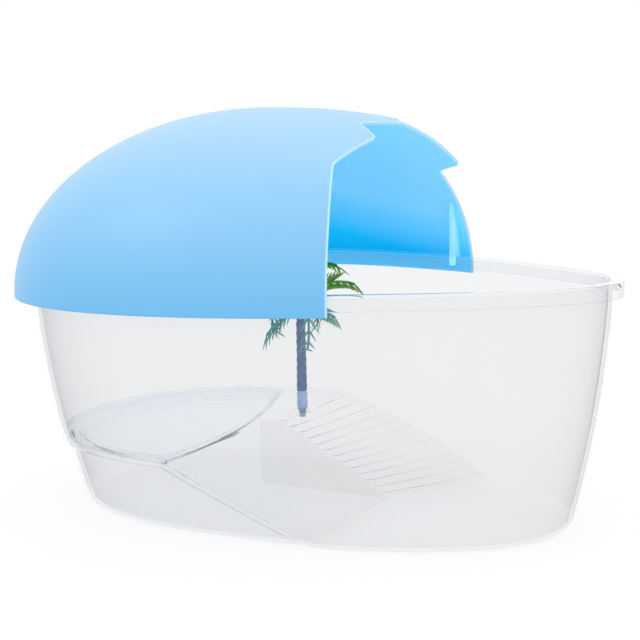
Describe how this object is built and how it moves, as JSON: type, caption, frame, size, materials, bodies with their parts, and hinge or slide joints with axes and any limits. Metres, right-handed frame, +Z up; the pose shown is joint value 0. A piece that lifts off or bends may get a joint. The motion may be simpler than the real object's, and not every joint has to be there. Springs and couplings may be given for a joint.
{
  "type": "turtle tank",
  "caption": "Clear egg-shaped turtle tank with a stepped wall, a shore insert with basin and ridged ramp, a plug-in palm and a blue half-eggshell cover with a cracked edge.",
  "frame": {"origin": "on the table, under the middle of the tub's rim", "axes": "+X along the tub towards its open, narrow end, +Y towards the side with the ridged ramp and the palm, +Z up"},
  "size_m": [0.3434, 0.2548, 0.2207],
  "materials": {
    "clear_tub": "clear moulded plastic",
    "clear_insert": "clear, faintly blue moulded plastic",
    "blue_cover": "light blue moulded plastic, satin",
    "palm_bark": "dark brown moulded plastic",
    "palm_leaf": "green moulded plastic"
  },
  "bodies": {
    "root": {"tank_tub": "clear_tub", "ramp_insert": "clear_insert", "dome_cover": "blue_cover", "palm_trunk": "palm_bark", "lower_fronds": "palm_leaf", "middle_fronds": "palm_leaf", "upper_fronds": "palm_leaf"}
  },
  "joints": []
}
